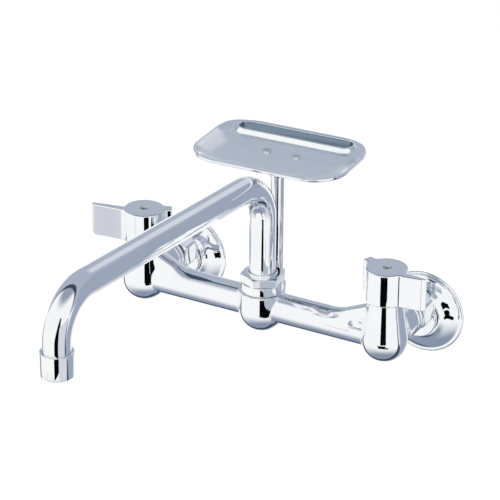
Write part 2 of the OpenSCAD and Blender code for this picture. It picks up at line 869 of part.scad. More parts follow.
module soap_dish() {
    back = dish_shift + dish_d / 2;
    color(CHROME) at_dish() difference() {
        union() {
            difference() {
                union() {
                    difference() {
                        dish_plate(0, back, dish_rim_z - lip_h, lip_h);
                        dish_plate(lip_w, back - lip_w, dish_rim_z - lip_h - 1, lip_h - dish_wall + 1);
                    }
                    dish_hollow(dish_wall, dish_wall / 2);
                }
                dish_hollow(0, 0);
                translate([0, 0, dish_rim_z]) cylinder(r = dish_w, h = dish_wall);
            }
            slot_slab(slot_band, floor_z - dish_wall / 2, slot_top);
            slot_slab(skirt_wall, under_z, slot_top);
        }
        slot_slab(0, under_z - 1, slot_top + 1);
        for (side = [-1, 1])
            translate([side * screw_half, screw_shift, 0])
                rod(dish_screw_r + 0.2, under_z - 1, dish_rim_z);
    }
}

module dish_screws() {
    color(STEEL) at_dish()
        for (side = [-1, 1])
            translate([side * screw_half, screw_shift, 0]) {
                rod(dish_screw_r - LOOSE_GAP, dish_screw_end, floor_z + 0.5);
                rod(dish_screw_head_r, floor_z, floor_z + dish_screw_head_h);
            }
}

valve_body();
spout_nut();
spout_tube();
spout_shank();
spout_rings();
friction_washer();
spout_tip();
aerator_housing();
aerator_washer();
aerator_insert();
aerator_screen();
dish_bracket();
dish_post();
dish_mount();
soap_dish();
dish_screws();
wall_flange(LEFT);  // left_flange
offset_coupling(LEFT);  // left_coupling
union_nut(LEFT);  // left_union_nut
union_washer(LEFT);  // left_union_washer
cartridge(LEFT);  // left_cartridge
gasket(LEFT);  // left_gasket
seat_seal(LEFT);  // left_seat_seal
fixed_disc(LEFT);  // left_fixed_disc
gland_nut(LEFT);  // left_gland_nut
turning_disc(LEFT);  // left_turning_disc
stem(LEFT);  // left_stem
stem_rings(LEFT);  // left_stem_rings
clip(LEFT);  // left_clip
handle(LEFT);  // left_handle
handle_screw(LEFT);  // left_handle_screw
wall_flange(RIGHT);  // right_flange
offset_coupling(RIGHT);  // right_coupling
union_nut(RIGHT);  // right_union_nut
union_washer(RIGHT);  // right_union_washer
cartridge(RIGHT);  // right_cartridge
gasket(RIGHT);  // right_gasket
seat_seal(RIGHT);  // right_seat_seal
fixed_disc(RIGHT);  // right_fixed_disc
gland_nut(RIGHT);  // right_gland_nut
turning_disc(RIGHT);  // right_turning_disc
stem(RIGHT);  // right_stem
stem_rings(RIGHT);  // right_stem_rings
clip(RIGHT);  // right_clip
handle(RIGHT);  // right_handle
handle_screw(RIGHT);  // right_handle_screw
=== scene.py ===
import bpy
import json
import math
import numpy as np
from mathutils import Matrix


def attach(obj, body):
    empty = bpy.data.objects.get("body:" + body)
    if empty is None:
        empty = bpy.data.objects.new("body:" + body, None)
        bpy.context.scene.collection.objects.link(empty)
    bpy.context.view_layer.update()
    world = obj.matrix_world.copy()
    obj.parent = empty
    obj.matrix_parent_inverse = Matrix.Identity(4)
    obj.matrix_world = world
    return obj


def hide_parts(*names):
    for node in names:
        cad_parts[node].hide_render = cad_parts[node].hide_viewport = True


# Looks of a wall-mounted kitchen faucet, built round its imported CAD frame

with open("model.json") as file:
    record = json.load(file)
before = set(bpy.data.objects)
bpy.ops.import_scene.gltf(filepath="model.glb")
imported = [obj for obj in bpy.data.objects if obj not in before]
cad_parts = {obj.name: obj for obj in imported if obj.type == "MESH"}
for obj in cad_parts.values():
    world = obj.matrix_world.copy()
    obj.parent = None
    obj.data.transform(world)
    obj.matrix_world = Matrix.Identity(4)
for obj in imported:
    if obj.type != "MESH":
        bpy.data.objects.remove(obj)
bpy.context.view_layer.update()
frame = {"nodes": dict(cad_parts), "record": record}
SC = bpy.context.scene

# Sizes shared by several pieces, in millimetres, as in the CAD
HALF = 101.6                    # from the middle to the axis of each barrel
OUT = 68.5                      # from the wall to the axes of barrels and riser
POST_Y = -46.4
UNION_Z = 11.0                  # height of the bar's and the unions' axes
RISE = math.radians(1.87)       # slope of the long straight
REACH = 250.5                   # from the riser to the outlet
BEND = 31.6                     # radius of both bends
TUBE = 9.93
RISER_FOOT = 36.05
RISER_TOP = 81.7
SPOUT_END = 80.3
SPOUT_TURN = -4.0
DISH_TURN = 2.6
RIM_Z = 126.3                   # height of the dish's rim


# Signed distance helpers
def smin(a, b, k):
    h = np.clip(0.5 + 0.5 * (b - a) / k, 0, 1)
    return b * (1 - h) + a * h - k * h * (1 - h)


def smax(a, b, k):
    return -smin(-a, -b, k)


def rounded(q, w, r):
    """Both q and w below zero, with the edge between them rounded by r."""
    corner = np.hypot(np.maximum(q + r, 0), np.maximum(w + r, 0))
    return np.minimum(np.maximum(q + r, w + r), 0) + corner - r


def smooth(v, a, b):
    t = np.clip((v - a) / (b - a), 0, 1)
    return t * t * (3 - 2 * t)


def hexagon(a, b, half, first):
    turns = [math.radians(first + t) for t in (0, 60, 120)]
    return np.max([np.abs(a * math.cos(t) + b * math.sin(t)) for t in turns], 0) - half


def polygon(p, V):
    V = np.asarray(V, float)
    d = np.full(p.shape[:-1], 1e18)
    s = np.ones(p.shape[:-1])
    for i in range(len(V)):
        a, b = V[i], V[i - 1]
        e = b - a
        w = p - a
        t = np.clip((w @ e) / (e @ e), 0, 1)
        q = w - t[..., None] * e
        d = np.minimum(d, (q ** 2).sum(-1))
        c1 = p[..., 1] >= a[1]
        c2 = p[..., 1] < b[1]
        c3 = e[0] * w[..., 1] > e[1] * w[..., 0]
        s = np.where((c1 & c2 & c3) | (~c1 & ~c2 & ~c3), -s, s)
    return s * np.sqrt(d)


# Mesh helpers
def mesh(name, V, F, N=None, sharp=None):
    me = bpy.data.meshes.new(name)
    V = np.asarray(V, float) * 0.001
    me.from_pydata(V.tolist(), [], [tuple(int(i) for i in f) for f in F])
    me.update()
    me.polygons.foreach_set("use_smooth", [True] * len(me.polygons))
    if sharp is not None:
        me.set_sharp_from_angle(angle=math.radians(sharp))
    if N is not None:
        me.normals_split_custom_set_from_vertices(np.asarray(N, float).tolist())
    ob = bpy.data.objects.new(name, me)
    SC.collection.objects.link(ob)
    return ob


def net(name, f, axes, newton=4, step=0.01):
    """A smooth quad mesh of the surface f = 0 on the grid lines in axes, with exact normals."""
    gx, gy, gz = [np.asarray(a, float) for a in axes]
    G = np.stack(np.meshgrid(gx, gy, gz, indexing="ij"), -1)
    D = f(G)
    inside = D < 0
    shape = [n - 1 for n in D.shape]
    acc = np.zeros(shape + [3])
    cnt = np.zeros(shape)
    faces = []

    def corner(o):
        return tuple(slice(o[i], o[i] + shape[i]) for i in range(3))

    # one point in each cell that the surface crosses, the mean of its crossings on the edges
    for ax in range(3):
        rest = [i for i in range(3) if i != ax]
        for o in ((0, 0), (0, 1), (1, 0), (1, 1)):
            a = [0, 0, 0]
            a[rest[0]], a[rest[1]] = o
            b = list(a)
            b[ax] = 1
            A, B = corner(a), corner(b)
            da, db = D[A], D[B]
            cross = inside[A] != inside[B]
            t = np.where(cross, da / np.where(cross, da - db, 1), 0)
            p = G[A] + (G[B] - G[A]) * t[..., None]
            acc += np.where(cross[..., None], p, 0)
            cnt += cross
    used = cnt > 0
    index = -np.ones(shape, int)
    index[used] = np.arange(used.sum())
    V = acc[used] / cnt[used][:, None]

    # one quad round each crossed edge
    for ax in range(3):
        rest = [(ax + 1) % 3, (ax + 2) % 3]
        sl0 = [slice(1, -1)] * 3
        sl0[ax] = slice(0, -1)
        sl1 = [slice(1, -1)] * 3
        sl1[ax] = slice(1, None)
        i0, i1 = inside[tuple(sl0)], inside[tuple(sl1)]
        w = np.argwhere(i0 != i1)
        if not len(w):
            continue
        flip = i0[tuple(w.T)]
        base = w + 1
        base[:, ax] -= 1
        q = []
        for o in ((0, 0), (1, 0), (1, 1), (0, 1)):
            k = base.copy()
            k[:, rest[0]] -= 1 - o[0]
            k[:, rest[1]] -= 1 - o[1]
            q.append(index[tuple(k.T)])
        q = np.stack(q, -1)
        q[~flip] = q[~flip][:, ::-1]
        faces.append(q)

    def grad(P):
        E = np.eye(3) * step
        return np.stack([f(P + E[i]) - f(P - E[i]) for i in range(3)], -1) / (2 * step)

    # move the points on to the surface
    cell = min(np.diff(gx).min(), np.diff(gy).min(), np.diff(gz).min())
    for _ in range(newton):
        g = grad(V)
        m = (g ** 2).sum(-1)
        move = -(f(V) / np.maximum(m, 0.05))[:, None] * g
        L = np.linalg.norm(move, axis=-1, keepdims=True)
        V = V + move * np.minimum(1, cell * 0.5 / np.maximum(L, 1e-9))
    g = grad(V)
    N = g / np.maximum(np.linalg.norm(g, axis=-1, keepdims=True), 1e-9)
    return mesh(name, V, np.concatenate(faces), N)


def lathe(name, prof, n=128, sharp=35, closed=False):
    """Turns a profile of (radius, height) about Z."""
    V, F, ring = [], [], []
    turns = [2 * math.pi * i / n for i in range(n)]
    for r, z in prof:
        if r < 1e-6:
            ring.append([len(V)])
            V.append((0, 0, z))
        else:
            ring.append(list(range(len(V), len(V) + n)))
            V += [(r * math.cos(a), r * math.sin(a), z) for a in turns]
    pairs = list(zip(ring, ring[1:])) + ([(ring[-1], ring[0])] if closed else [])
    for a, b in pairs:
        for i in range(n):
            j = (i + 1) % n
            if len(a) == 1 and len(b) == 1:
                continue
            if len(a) == 1:
                F.append((a[0], b[j], b[i]))
            elif len(b) == 1:
                F.append((a[i], a[j], b[0]))
            else:
                F.append((a[i], a[j], b[j], b[i]))
    return mesh(name, V, F, sharp=sharp)


def soften(prof, r, n=5):
    """Rounds the corners of a profile by radius r."""
    straight = math.radians(86)
    out = [prof[0]]
    for a, b, c in zip(prof, prof[1:], prof[2:]):
        a, b, c = np.array(a, float), np.array(b, float), np.array(c, float)
        u, v = a - b, c - b
        lu, lv = np.linalg.norm(u), np.linalg.norm(v)
        u, v = u / lu, v / lv
        half = math.acos(max(-1, min(1, float(u @ v)))) / 2
        if half > straight:
            out.append(tuple(b))
            continue
        t = min(r / math.tan(half), lu * 0.45, lv * 0.45)
        for i in range(n + 1):
            s = i / n
            p = (1 - s) ** 2 * (b + u * t) + 2 * s * (1 - s) * b + s ** 2 * (b + v * t)
            out.append(tuple(p))
    out.append(prof[-1])
    return out


def span(a, b, d):
    return np.linspace(a, b, max(2, int(round((b - a) / d)) + 1))


def place(ob, M):
    """Puts a piece drawn in its own frame, in millimetres, where M says."""
    ob.data.transform(M)
    ob.data.update()
    return ob


def at(x, y, z, deg=0.0):
    turn = Matrix.Rotation(math.radians(deg), 4, "Z")
    return Matrix.Translation((x * 0.001, y * 0.001, z * 0.001)) @ turn


def toward_room(x, z):
    """Frame whose axis points from the wall into the room."""
    turn = Matrix.Rotation(math.radians(90), 4, "X")
    return Matrix.Translation((x * 0.001, 0, z * 0.001)) @ turn


# Materials
class Nodes:
    """Small helper for writing node graphs as expressions."""

    def __init__(self, tree):
        self.t = tree

    def node(self, kind, **props):
        n = self.t.nodes.new(kind)
        for k, v in props.items():
            setattr(n, k, v)
        return n

    def link(self, a, b):
        if isinstance(a, (int, float, tuple)):
            b.default_value = a
        else:
            self.t.links.new(a, b)

    def math(self, op, a, b=0.0, c=0.0, clamp=False):
        n = self.node("ShaderNodeMath", operation=op, use_clamp=clamp)
        for v, s in zip((a, b, c), n.inputs):
            self.link(v, s)
        return n.outputs[0]

    def step(self, v, a, b, lo=0.0, hi=1.0):
        """From lo at a to hi at b, smoothly."""
        n = self.node("ShaderNodeMapRange", interpolation_type="SMOOTHSTEP")
        self.link(v, n.inputs["Value"])
        flip = a > b
        n.inputs["From Min"].default_value = b if flip else a
        n.inputs["From Max"].default_value = a if flip else b
        n.inputs["To Min"].default_value = hi if flip else lo
        n.inputs["To Max"].default_value = lo if flip else hi
        return n.outputs["Result"]

    def window(self, v, a, b, soft):
        rise, fall = self.step(v, a - soft, a + soft), self.step(v, b + soft, b - soft)
        return self.math("MULTIPLY", rise, fall)

    def mix(self, mask, a, b):
        n = self.node("ShaderNodeMix", data_type="RGBA")
        self.link(mask, n.inputs[0])
        self.link(a, n.inputs[6])
        self.link(b, n.inputs[7])
        return n.outputs[2]

    def noise(self, vec, scale, detail=3.0, rough=0.55):
        n = self.node("ShaderNodeTexNoise")
        self.link(vec, n.inputs["Vector"])
        n.inputs["Scale"].default_value = scale
        n.inputs["Detail"].default_value = detail
        n.inputs["Roughness"].default_value = rough
        return n.outputs[0]


def lin(r, g, b):
    """Linear colour of 8-bit display values."""
    def one(c):
        return c / 12.92 if c <= 0.04045 else ((c + 0.055) / 1.055) ** 2.4
    return (one(r / 255), one(g / 255), one(b / 255), 1.0)


def material(name, metallic, rough, shade, spread, bump=0.0, grain=400.0,
             stretch=(1, 1, 1), rough_var=0.04, patch=60.0, satin=None):
    """Patches of shade and spread under a fine grain that varies roughness and height.

    satin = (low, high, value): below the heights low to high the roughness is value.
    """
    m = bpy.data.materials.new(name)
    m.use_nodes = True
    t = m.node_tree
    t.nodes.clear()
    g = Nodes(t)
    out = g.node("ShaderNodeOutputMaterial")
    p = g.node("ShaderNodeBsdfPrincipled")
    g.link(p.outputs[0], out.inputs[0])
    p.inputs["Metallic"].default_value = metallic
    tc = g.node("ShaderNodeTexCoord").outputs["Object"]
    mp = g.node("ShaderNodeMapping")
    g.link(tc, mp.inputs["Vector"])
    mp.inputs["Scale"].default_value = stretch
    big = g.noise(tc, patch, 3.0)
    fine = g.noise(mp.outputs[0], grain, 4.0, 0.6)
    g.link(g.mix(g.step(big, 0.35, 0.65), shade + (1,), spread + (1,)), p.inputs["Base Color"])
    r = g.math("MULTIPLY_ADD", big, rough_var, rough - rough_var * 0.5)
    r = g.math("MULTIPLY_ADD", fine, rough_var * 0.5, r, clamp=True)
    if satin:
        low, high, value = satin
        sep = g.node("ShaderNodeSeparateXYZ")
        g.link(tc, sep.inputs[0])
        r = g.math("MAXIMUM", r, g.step(sep.outputs[2], high, low, 0.0, value))
    g.link(r, p.inputs["Roughness"])
    if bump:
        b = g.node("ShaderNodeBump")
        b.inputs["Strength"].default_value = 1.0
        b.inputs["Distance"].default_value = bump
        g.link(fine, b.inputs["Height"])
        g.link(b.outputs[0], p.inputs["Normal"])
    return m


PLATE = dict(shade=(0.955, 0.965, 0.98), spread=(0.925, 0.94, 0.96),
             grain=900.0, rough_var=0.02, patch=25.0)
CHROME = material("chrome_plate", 1.0, 0.035, **PLATE)
DISH_CHROME = material("dish_chrome", 1.0, 0.04, satin=(0.1238, 0.1268, 0.3), **PLATE)
FINISH = {
    "chrome": CHROME,
    "brass": material("turned_brass", 1.0, 0.28, (0.80, 0.60, 0.30), (0.70, 0.50, 0.23),
                      bump=0.00002, grain=1500.0, stretch=(0.2, 0.2, 6.0), rough_var=0.12),
    "rubber": material("black_rubber", 0.0, 0.62, (0.018, 0.018, 0.02), (0.03, 0.03, 0.032),
                       bump=0.00003, grain=1800.0, rough_var=0.15),
    "ceramic": material("fired_ceramic", 0.0, 0.22, (0.86, 0.84, 0.78), (0.80, 0.77, 0.70),
                        bump=0.000008, grain=2500.0, rough_var=0.1),
    "nylon": material("natural_nylon", 0.0, 0.42, (0.80, 0.79, 0.73), (0.74, 0.73, 0.66),
                      bump=0.00001, grain=900.0, rough_var=0.12),
    "steel": material("plain_steel", 1.0, 0.2, (0.72, 0.73, 0.75), (0.62, 0.63, 0.66),
                      bump=0.00001, grain=1600.0, stretch=(0.3, 0.3, 4.0), rough_var=0.1),
}

slot_of = {s["node"]: s["material_slot"] for s in frame["record"]["subparts"]}
for node, ob in frame["nodes"].items():
    finish = FINISH[slot_of[node]]
    if not ob.material_slots:
        ob.data.materials.append(finish)
    for s in ob.material_slots:
        s.material = finish


def dress(ob, body, slot, node, finish=None):
    """Gives a piece its material, by slot unless a finish is given, hangs it on its body and hides
    the CAD node it replaces.
    """
    ob.data.materials.append(finish or FINISH[slot])
    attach(ob, body)
    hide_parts(node)
    return ob


# Cast body; x is measured from the axis of the nearer barrel
BARREL_R = 17.42
BARREL_TOP = 39.75
BALL_Z = 8.3                    # middle of the barrel's round bottom
TAPER = math.radians(9.5)
BAR_R = 11.55
SHOULDER_R = 7.8
SHOULDER_X = -38
SHOULDER_Z = 11.6
SHOULDER_LIFT = 2.35
SHOULDER_TILT = math.radians(24)
NECK_R = 13.8
NECK_BEADS = (-38.75, -34.5)
BOSS_R = 17.45
BOSS_BALL_Z = 7.5
BOSS_TOP = 22.7
LUG_R = 7.6
SPIGOT_R = 12.9


def body_shape(P):
    x = np.abs(P[..., 0]) - HALF
    y = P[..., 1] + OUT
    z = P[..., 2]
    under = np.clip((6 - z) / 12, 0, 1)         # joints are sharp on top and soft below
    rad = np.hypot(x, y)
    ball = np.sqrt(rad * rad + (z - BALL_Z) ** 2) - BARREL_R
    cone = rad * math.cos(TAPER) + (z - BALL_Z) * math.sin(TAPER) - BARREL_R
    on_ball = (z - BALL_Z) * math.cos(TAPER) < rad * math.sin(TAPER)
    barrel = np.where(on_ball, ball, cone)
    bar = np.maximum(np.hypot(y, z - UNION_Z) - BAR_R, x)
    tx, tz = x - SHOULDER_X, z - SHOULDER_Z
    along = tx * math.cos(SHOULDER_TILT) + tz * math.sin(SHOULDER_TILT)
    off = -tx * math.sin(SHOULDER_TILT) + tz * math.cos(SHOULDER_TILT)
    shoulder = np.maximum(np.hypot(off - SHOULDER_LIFT, y) - SHOULDER_R, np.abs(along - 19) - 19)
    d = smin(smin(bar, shoulder, 3.2), barrel, 0.7 + 6.1 * under)
    rad = np.hypot(x, z - UNION_Z)
    neck = np.maximum(rad - NECK_R, np.abs(P[..., 1] + 50.75) - 17.7)
    for bead_y in NECK_BEADS:
        neck = smin(neck, np.hypot(rad - 13.25, P[..., 1] - bead_y) - 1.45, 0.6)
    neck = smin(neck, np.maximum(rad - 9.5, np.abs(P[..., 1] + 28.6) - 4.5), 0.4)
    d = smin(d, neck, 3.5)
    d = smax(d, z - BARREL_TOP, 0.4)
    boss = np.sqrt(P[..., 0] ** 2 + y * y + np.minimum(z - BOSS_BALL_Z, 0) ** 2) - BOSS_R
    boss = smax(boss, z - BOSS_TOP, 0.9)
    d = smin(d, boss, 1.3 + 4.0 * under)
    lug = rounded(np.hypot(P[..., 0], P[..., 1] - POST_Y) - LUG_R, np.abs(z - 15.1) - 4.2, 0.8)
    d = smin(d, lug, 1.2)
    return np.minimum(d, np.maximum(np.hypot(P[..., 0], y) - SPIGOT_R, np.abs(z - 26) - 6))


def stops(*pairs):
    """Grid lines from a first value on, as (next value, spacing) pairs say."""
    out = [np.array([pairs[0]], float)]
    for end, d in pairs[1:]:
        out.append(span(out[-1][-1], end, d)[1:])
    return np.concatenate(out)


body_x = stops(-120.5, (-60, 1.0), (-22, 2.0), (22, 1.0), (60, 2.0), (120.5, 1.0))
body_y = stops(-87, (-42, 1.0), (-23, 0.5))
body_z = stops(-11.5, (38, 1.0), (41, 0.5))
ob = net("body_casting", body_shape, (body_x, body_y, body_z))
dress(ob, "root", "chrome", "valve_body")

# Handles, drawn as the right one, with the blade along +X
HUB_R = 15.4
HUB_MID, HUB_HALF = 52.9, 12.7
HUB_TOP = 65.6
LUG_TURN = math.radians(161)
LUG_REACH = 21.15


def handle_plan(p, tip):
    r = np.hypot(p[..., 0], p[..., 1])
    outline = [(0, -1.7), (tip - 0.8, -1.7), (tip, -2.5), (tip - 2.9, -5.7), (HUB_R, -7.7), (0, -7.7)]
    blade = polygon(p, outline)
    lx = p[..., 0] * math.cos(LUG_TURN) + p[..., 1] * math.sin(LUG_TURN)
    ly = -p[..., 0] * math.sin(LUG_TURN) + p[..., 1] * math.cos(LUG_TURN)
    lug = smax(np.maximum(np.abs(ly) - 3.9, -lx), r - LUG_REACH, 0.8)
    return smin(smin(r - HUB_R, blade, 1.2), lug, 3.0)


def handle_shape(P, tip):
    z = P[..., 2]
    d = rounded(handle_plan(P[..., :2], tip), np.abs(z - HUB_MID) - HUB_HALF, 0.8)
    screw_cup = rounded(np.hypot(P[..., 0], P[..., 1]) - 3.2, np.abs(z - HUB_TOP) - 3.2, 0.1)
    return smax(d, -screw_cup, 0.5)


hub_y = span(-17, 17, 0.6)
hub_z = stops(39.6, (41.6, 0.3), (61.4, 0.66), (66.2, 0.3))
for side, turn, tip, name in ((1, -1.6, 33.55, "right"), (-1, 11.4, 41.35, "left")):
    flip = np.array([float(side), 1.0, 1.0])
    hub_x = np.sort(side * span(-22.5, tip + 1.2, 0.6))
    ob = net(name + "_lever", lambda P: handle_shape(P * flip, tip), (hub_x, hub_y, hub_z))
    place(ob, at(side * HALF, -OUT, 0, turn))
    dress(ob, name + "_handle", "chrome", name + "_handle")


# Spout tube
def spout_path():
    """Middle line of the tube as (distance from the riser, height)."""
    pts = [(0.0, z) for z in np.linspace(RISER_FOOT, RISER_TOP, 12)]
    end = 90 + math.degrees(RISE)

    def bend(cx, cz, a0, a1, n):
        for a in np.linspace(a0, a1, n)[1:]:
            a = math.radians(a)
            pts.append((cx + BEND * math.cos(a), cz + BEND * math.sin(a)))

    bend(BEND, RISER_TOP, 180, end, 34)
    length = (REACH - 2 * BEND) / math.cos(RISE)
    s, z = pts[-1]
    for t in np.linspace(0, length, 40)[1:]:
        pts.append((s + t * math.cos(RISE), z + t * math.sin(RISE)))
    drop_top = RISER_TOP + length * math.sin(RISE)
    bend(REACH - BEND, drop_top, end, 0, 36)
    for z in np.linspace(drop_top, SPOUT_END, 4)[1:]:
        pts.append((REACH, z))
    return np.array(pts)


def spout_mesh(sides=96, lip=0.88):
    """A circle swept along the path, each end turned in by lip and closed."""
    path = spout_path()
    tan = np.gradient(path, axis=0)
    tan /= np.linalg.norm(tan, axis=1, keepdims=True)
    V, F = [], []
    for (s, z), (ts, tz) in zip(path, tan):
        for i in range(sides):
            a = 2 * math.pi * i / sides
            c, w = math.cos(a) * TUBE, math.sin(a) * TUBE
            V.append((w, -(s + tz * c), z - ts * c))
    V = np.array(V)
    for k in range(0, len(V) - sides, sides):
        for i in range(sides):
            j = (i + 1) % sides
            F.append((k + i, k + j, k + sides + j, k + sides + i))
    last, cap = len(V) - sides, len(V)
    foot, mouth = V[:sides], V[last:]
    lo, hi = foot.mean(0), mouth.mean(0)
    V = np.concatenate([V, lo + (foot - lo) * lip, hi + (mouth - hi) * lip])
    for i in range(sides):
        j = (i + 1) % sides
        F.append((cap + i, cap + j, j, i))
        F.append((last + i, last + j, cap + sides + j, cap + sides + i))
    F.append(tuple(cap + i for i in reversed(range(sides))))
    F.append(tuple(cap + sides + i for i in range(sides)))
    ob = mesh("spout_pipe", V, F, sharp=40)
    me = ob.data
    face, opposite = me.polygons[5 * sides], me.vertices[5 * sides + sides // 2]
    if face.normal.dot(face.center - opposite.co) < 0:
        me.flip_normals()
    return ob


dress(place(spout_mesh(), at(0, -OUT, 0, SPOUT_TURN)), "spout", "chrome", "spout_tube")

# Aerator
sleeve = soften([(8.6, 65.0), (11.79, 65.0), (11.79, 82.6), (10.1, 82.6)], 0.9)
sleeve += [(10.1, 80.2), (10.9, 80.2), (10.9, 66.6), (8.6, 66.6)]
ob = lathe("aerator_sleeve", sleeve, 160, closed=True)
outlet = at(0, -OUT, 0, SPOUT_TURN) @ Matrix.Translation((0, -REACH * 0.001, 0))
dress(place(ob, outlet), "spout", "chrome", "aerator_housing")

# Spout nut and dish bracket, drawn about the riser's axis
NUT_HALF = 14.65
NUT_TURN = 34


def nut_shape(P):
    x, y, z = P[..., 0], P[..., 1], P[..., 2]
    r = np.hypot(x, y)
    d = smax(hexagon(x, y, NUT_HALF, NUT_TURN + 30), np.abs(z - 33.5) - 3.45, 0.5)
    d = smax(d, (r - 14.05) * 0.406 + (z - 36.98) * 0.914, 0.4)
    collar = rounded(r - 11.2, np.abs(z - 36.5) - 2.0, 0.35)
    d = smin(d, collar, 0.3)
    return smax(d, -(r - 10.2), 0.3)


def bracket_shape(P):
    x, y, z = P[..., 0], P[..., 1], P[..., 2]
    post = OUT + POST_Y
    ring = rounded(np.hypot(x, y) - 15.7, np.abs(z - 26.4) - 3.5, 0.6)
    boss = rounded(np.hypot(x, y - post) - 6.8, np.abs(z - 25.9) - 3.05, 0.6)
    ends = np.maximum(6 - y, y - post)
    web = rounded(np.abs(x) - 6.0, np.maximum(np.abs(z - 25.9) - 3.0, ends), 0.5)
    d = smin(smin(ring, web, 1.5), boss, 1.5)
    return np.maximum(d, -(np.hypot(x, y) - 12.95))


across = span(-18, 18, 0.45)
ob = net("spout_nut_hex", nut_shape, (across, across, span(29.4, 39.2, 0.35)))
dress(place(ob, at(0, -OUT, 0)), "root", "chrome", "spout_nut")
axes = (span(-17, 17, 0.6), span(-17, 32, 0.6), span(22, 32.4, 0.4))
ob = net("bracket_ring", bracket_shape, axes)
dress(place(ob, at(0, -OUT, 0)), "root", "chrome", "dish_bracket")

# Post and dish mount, drawn about the post's axis
POST_R = 5.2
POST_FOOT, POST_TOP = 12.5, 112.9
dish_place = at(0, POST_Y, 0, DISH_TURN)


def plate_shape(P):
    half_w, half_d, r = 18, 12.5, 3
    a, b = np.abs(P[..., 0]) - half_w + r, np.abs(P[..., 1] - 0.3) - half_d + r
    o = np.minimum(np.maximum(a, b), 0) + np.hypot(np.maximum(a, 0), np.maximum(b, 0)) - r
    return rounded(o, np.abs(P[..., 2] - 118.4) - 1.45, 0.4)


ob = lathe("post_tube", [(0, POST_FOOT), (POST_R, POST_FOOT), (POST_R, POST_TOP), (0, POST_TOP)], 96)
dress(place(ob, at(0, POST_Y, 0)), "root", "chrome", "dish_post")
collar = [(POST_R, 106.5), (5.9, 106.5), (5.9, 113.2), (8.0, 113.9), (8.0, 119.85), (0, 119.85)]
ob = lathe("mount_collar", [(POST_R, 108.0)] + soften(collar, 0.6), 128)
axes = (span(-19, 19, 0.8), span(-13.5, 14.5, 0.8), span(116.3, 120.5, 0.3))
plate = net("mount_plate", plate_shape, axes)
dress(place(ob, dish_place), "root", "chrome", "dish_mount")
dress(place(plate, dish_place), "root", "chrome", "dish_mount")

# Soap dish, drawn about the post's axis; its own middle lies behind that
DISH_HALF_W, DISH_HALF_D, DISH_R = 60.9, 41.25, 27.4
DISH_SHIFT = 3.1
WALL_SLOPE = 0.426
FLOOR = -5.15                   # below the rim
FLOOR_LIFT = 2.6                # rise of the floor toward the slot
SHEET = 1.2
SLOT_Y, SLOT_HALF, SLOT_R = 27.3, 46, 6.65
BEAD_TOP = 2.05
SCREW_X, SCREW_Y = 12, 6.3


def plan_inset(x, y):
    """Distance inside the dish outline, positive within."""
    a, b = np.abs(x) - DISH_HALF_W + DISH_R, np.abs(y) - DISH_HALF_D + DISH_R
    corner = np.hypot(np.maximum(a, 0), np.maximum(b, 0))
    return -(np.minimum(np.maximum(a, b), 0) + corner - DISH_R)


def slot_dist(x, y):
    """Distance outside the slot's outline."""
    return np.hypot(np.maximum(np.abs(x) - SLOT_HALF + SLOT_R, 0), y - SLOT_Y) - SLOT_R


def dish_top(x, y):
    """Height of the upper face over the rim plane; y from the middle of the dish."""
    i = plan_inset(x, y)
    base = FLOOR + FLOOR_LIFT * smooth(y, 5.0, 18.0)
    h = smin(smax(-(i - 1.9) * WALL_SLOPE, base, 2.4), 0 * i, 0.6)
    corner = smooth(y, 12.0, 30.0) * smooth(np.abs(x), 38.0, 58.0)
    return h + 1.7 * corner * smooth(i, -0.5, 1.5) * smooth(i, 16, 4)


def dish_shape(P):
    x, y, z = P[..., 0], P[..., 1] - DISH_SHIFT, P[..., 2] - RIM_Z
    i = plan_inset(x, y)
    top = dish_top(x, y)
    sheet = np.maximum(z - top, top - SHEET - z) * 0.9
    lip = np.maximum(np.maximum(-i, i - 1.5), np.maximum(z - top, -z - 2.35))
    d = smin(smax(sheet, -i, 0.8), smax(lip, -i, 0.8), 0.8)
    s = slot_dist(x, y)
    bead = smax((s - 1.0) * 0.88 + (z - BEAD_TOP) * 0.475, z - 2.02, 1.4)
    d = smin(d, np.maximum(bead, -z - 5.6), 0.9)
    inner_wall = np.maximum(np.maximum(s - 1.4, -s), np.maximum(z - 0.5, -z - 6.3))
    d = smin(d, inner_wall, 0.3)
    d = smax(d, -s, 0.8)
    for sx in (-SCREW_X, SCREW_X):
        d = smax(d, -(np.hypot(x - sx, P[..., 1] - SCREW_Y) - 2.2), 0.3)
    return smax(d, -i, 0.3)


axes = (span(-62, 62, 0.7), span(-39.4, 45.6, 0.7), span(119.4, 129.2, 0.3))
ob = net("dish_tray", dish_shape, axes, newton=6)
dress(place(ob, dish_place), "root", "chrome", "soap_dish", DISH_CHROME)

# Wall flanges, couplings and union nuts, drawn about the supply's axis
FLANGE = [
    (15.9, 0.01), (29.4, 0.01), (31.0, 0.05), (32.3, 0.25), (32.65, 0.9), (32.4, 1.5), (31.6, 2.0),
    (30.7, 2.05), (30.1, 1.75), (29.7, 1.75), (28.6, 2.6), (26.8, 3.9), (24.6, 5.1), (22.4, 6.0),
    (20.4, 6.7), (18.9, 7.4), (17.9, 8.4), (17.2, 9.3), (16.6, 9.75), (15.9, 9.75)]
UNION_HALF = 14.0
UNION_Y = -23


def coupling_shape(P):
    x, y, z = P[..., 0], P[..., 1], P[..., 2]
    offset = np.hypot(x, z - UNION_Z)
    low = rounded(np.hypot(x, z) - 15.45, np.abs(y + 7.25) - 7.15, 0.8)
    lobe = rounded(offset - 12.4, np.abs(y + 12.5) - 2.1, 0.4)
    tail = rounded(offset - 11.6, np.abs(y + 18) - 4.0, 0.2)
    d = smin(smin(low, lobe, 2.0), tail, 0.5)
    return np.maximum(d, -np.maximum(np.hypot(x, z) - 9.2, -12.6 - y))


